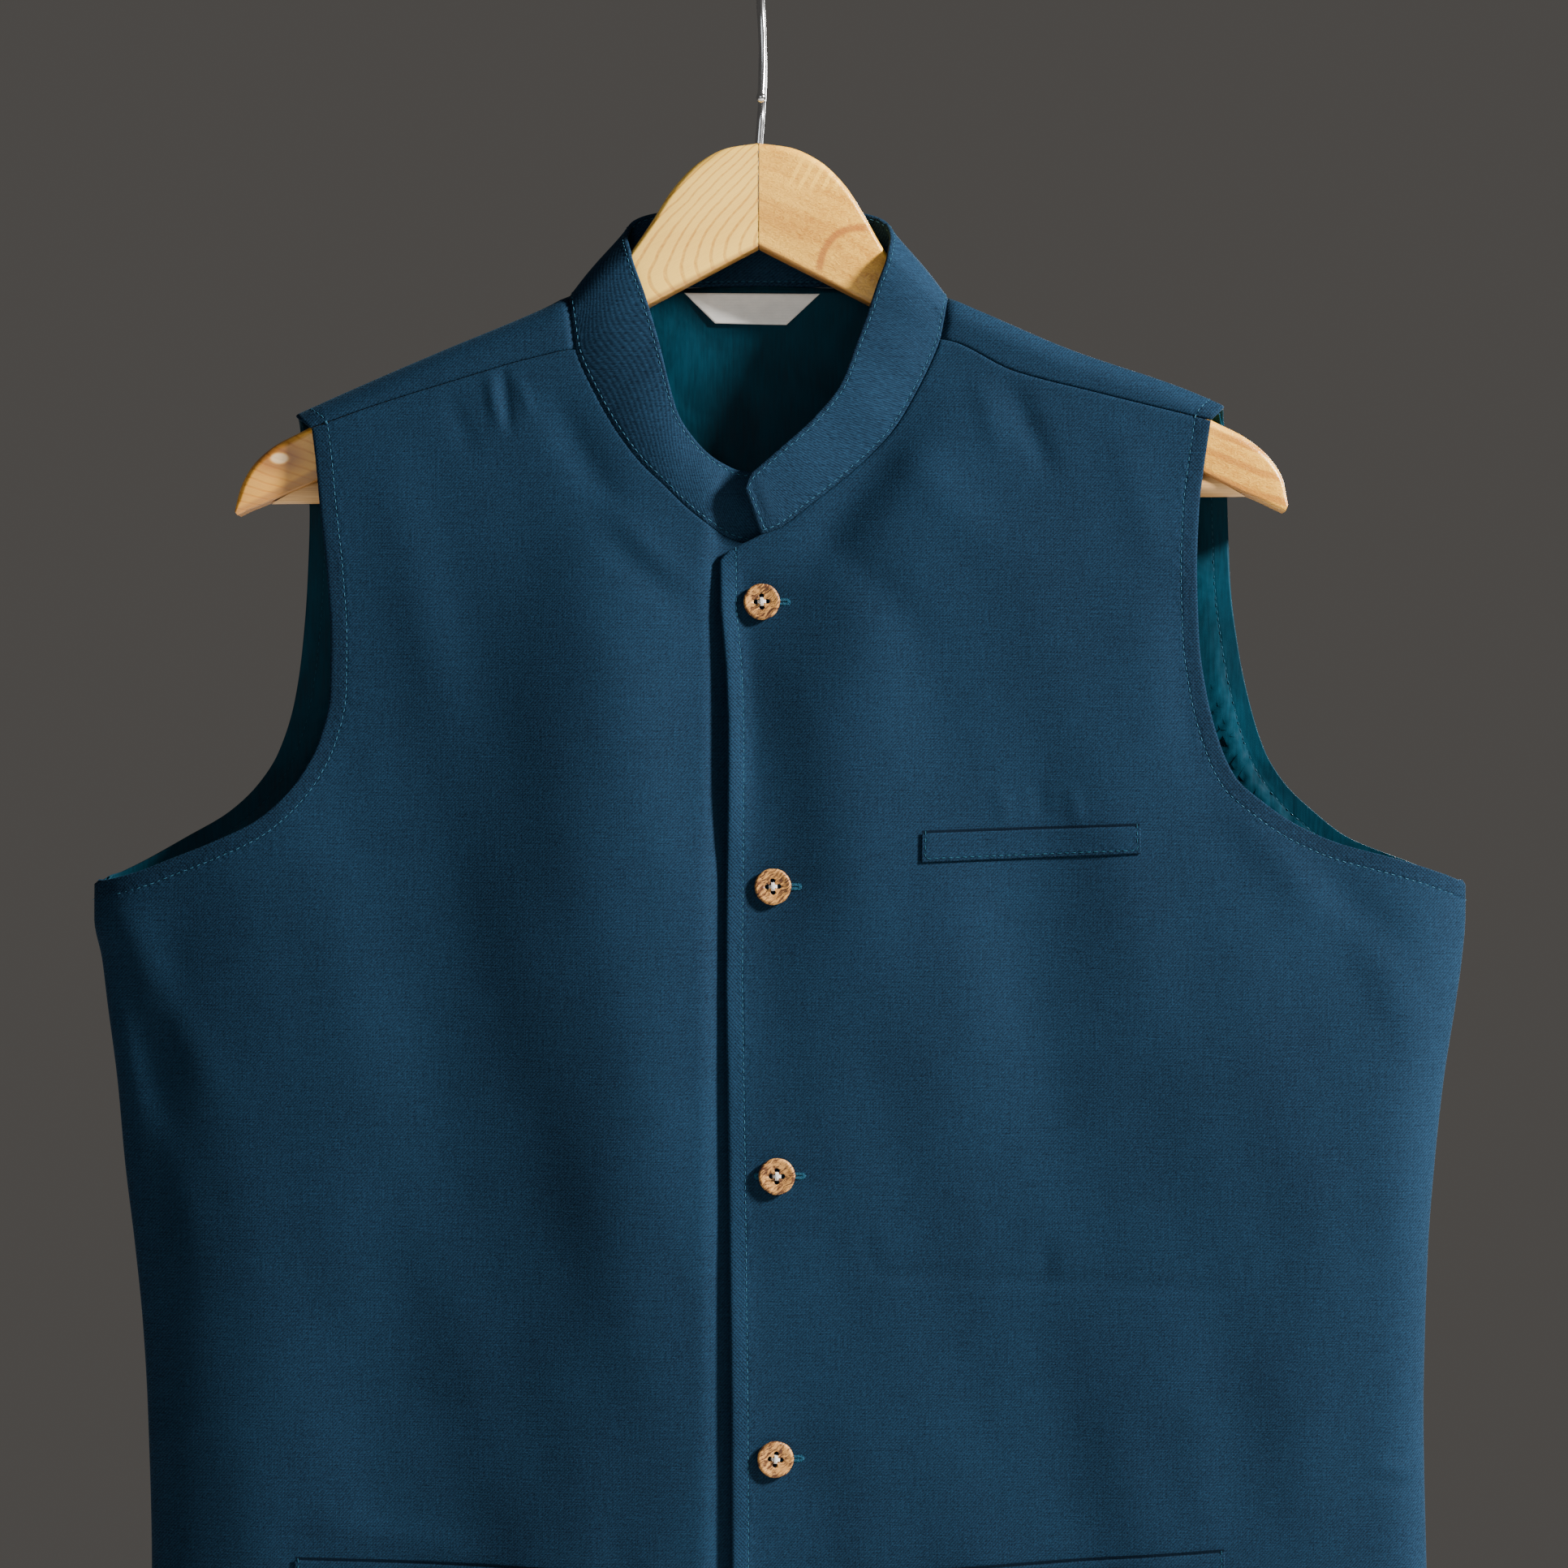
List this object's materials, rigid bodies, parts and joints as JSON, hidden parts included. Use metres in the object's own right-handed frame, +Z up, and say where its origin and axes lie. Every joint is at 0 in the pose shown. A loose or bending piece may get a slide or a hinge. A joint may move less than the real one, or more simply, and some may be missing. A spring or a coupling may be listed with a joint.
{
  "type": "nehru jacket on a wooden hanger",
  "caption": "Sleeveless band-collar jacket, buttoned down the front, with welt pockets, hanging on a flat wooden hanger with a trouser bar and a steel hook.",
  "frame": {"origin": "the inner top of the hook's curl, where the hanger rests on a rail", "axes": "+Z up; the front of the jacket faces -Y; +X to the right of a viewer in front of it"},
  "size_m": [0.5739, 0.0604, 0.8474],
  "materials": {
    "jacket_cloth": "matt twill with a fine slub",
    "collar_cloth": "matt twill, fused",
    "lining": "smooth satin lining",
    "welt_cloth": "matt twill",
    "label_tape": "bare woven tape",
    "thread": "sewing thread",
    "buttons": "matt coconut shell",
    "hanger_wood": "clear satin lacquer",
    "bar_wood": "plain turned bar",
    "hook_steel": "bright plated wire"
  },
  "bodies": {
    "root": {"front_right": "jacket_cloth", "front_left": "jacket_cloth", "back": "jacket_cloth", "back_lining": "lining", "collar": "collar_cloth", "chest_welt": "welt_cloth", "hip_welt_right": "welt_cloth", "hip_welt_left": "welt_cloth", "label": "label_tape", "button_1": "buttons", "button_2": "buttons", "button_3": "buttons", "button_4": "buttons", "button_5": "buttons", "hanger_arm_left": "hanger_wood", "hanger_arm_right": "hanger_wood", "trouser_bar": "bar_wood", "hook": "hook_steel"}
  },
  "joints": []
}
